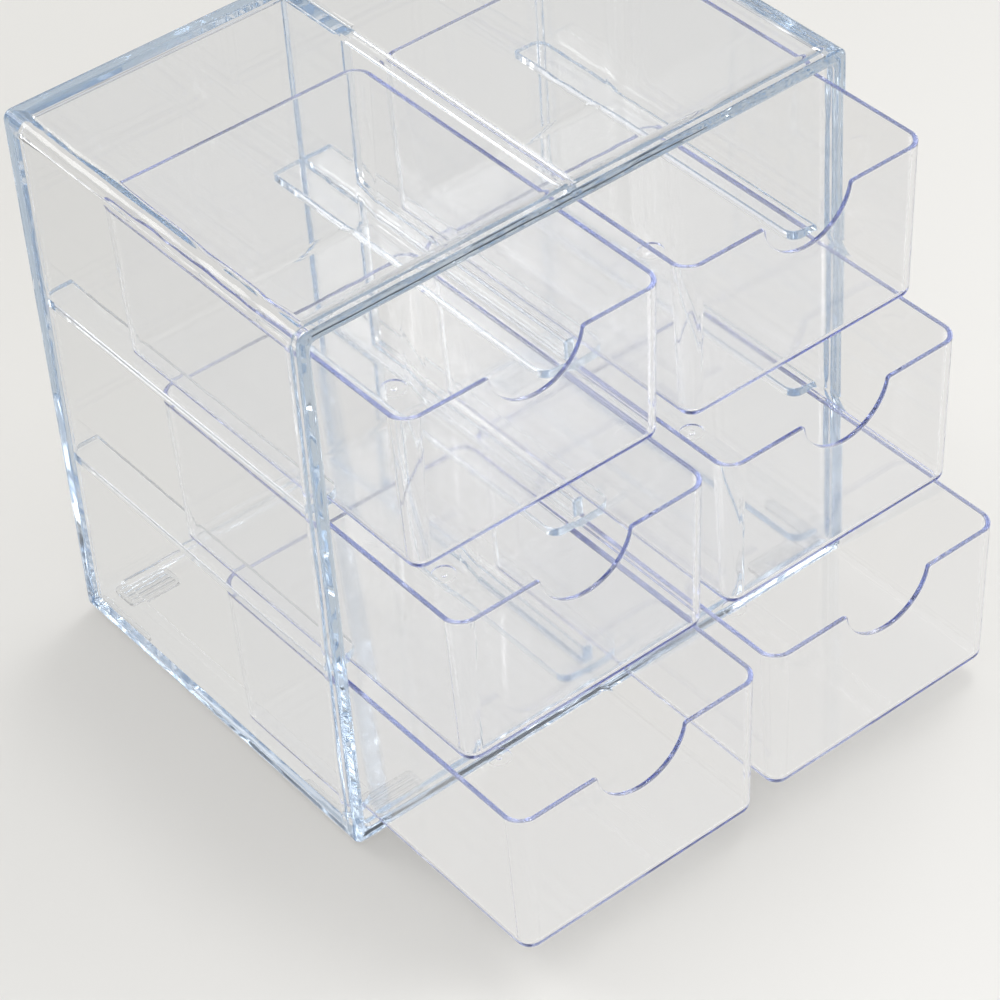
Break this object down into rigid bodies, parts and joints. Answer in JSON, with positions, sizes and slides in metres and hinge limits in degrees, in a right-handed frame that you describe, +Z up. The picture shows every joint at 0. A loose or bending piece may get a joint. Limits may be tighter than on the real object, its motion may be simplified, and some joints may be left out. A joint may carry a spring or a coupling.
{
  "type": "drawer organizer",
  "caption": "Clear plastic tabletop organizer: an open-fronted case with two columns of sliding drawers, each a rounded tub pulled by a curved finger notch.",
  "frame": {"origin": "on the table, under the middle of the case", "axes": "+X to the right across the front, +Y to the rear, +Z up; the drawers pull out along -Y"},
  "size_m": [0.18, 0.1988, 0.1778],
  "materials": {
    "clear_case": "clear gloss",
    "clear_drawer": "clear gloss",
    "clear_foot": "clear, ribbed"
  },
  "bodies": {
    "case": {"outer_shell": "clear_case", "back_panel": "clear_case", "rear_partition": "clear_case", "top_rib": "clear_case", "left_wall_lower_rail": "clear_case", "left_wall_middle_rail": "clear_case", "left_wall_upper_rail": "clear_case", "centre_lower_rail": "clear_case", "centre_middle_rail": "clear_case", "centre_upper_rail": "clear_case", "right_wall_lower_rail": "clear_case", "right_wall_middle_rail": "clear_case", "right_wall_upper_rail": "clear_case", "front_left_foot": "clear_foot", "front_right_foot": "clear_foot", "rear_left_foot": "clear_foot", "rear_right_foot": "clear_foot", "front_left_side_foot": "clear_foot", "front_right_side_foot": "clear_foot", "rear_left_side_foot": "clear_foot", "rear_right_side_foot": "clear_foot"},
    "bottom_left_drawer": {"bottom_left_drawer": "clear_drawer"},
    "bottom_right_drawer": {"bottom_right_drawer": "clear_drawer"},
    "middle_left_drawer": {"middle_left_drawer": "clear_drawer"},
    "middle_right_drawer": {"middle_right_drawer": "clear_drawer"},
    "top_left_drawer": {"top_left_drawer": "clear_drawer"},
    "top_right_drawer": {"top_right_drawer": "clear_drawer"}
  },
  "joints": [
    {"name": "bottom_left_slide", "type": "slide", "parent": "case", "child": "bottom_left_drawer", "axis": [0, -1, 0], "range_m": [-0.06827, 0.03173]},
    {"name": "bottom_right_slide", "type": "slide", "parent": "case", "child": "bottom_right_drawer", "axis": [0, -1, 0], "range_m": [-0.06689, 0.03311]},
    {"name": "middle_left_slide", "type": "slide", "parent": "case", "child": "middle_left_drawer", "axis": [0, -1, 0], "range_m": [-0.04957, 0.05043]},
    {"name": "middle_right_slide", "type": "slide", "parent": "case", "child": "middle_right_drawer", "axis": [0, -1, 0], "range_m": [-0.0502, 0.0498]},
    {"name": "top_left_slide", "type": "slide", "parent": "case", "child": "top_left_drawer", "axis": [0, -1, 0], "range_m": [-0.03426, 0.06574]},
    {"name": "top_right_slide", "type": "slide", "parent": "case", "child": "top_right_drawer", "axis": [0, -1, 0], "range_m": [-0.03552, 0.06448]}
  ]
}
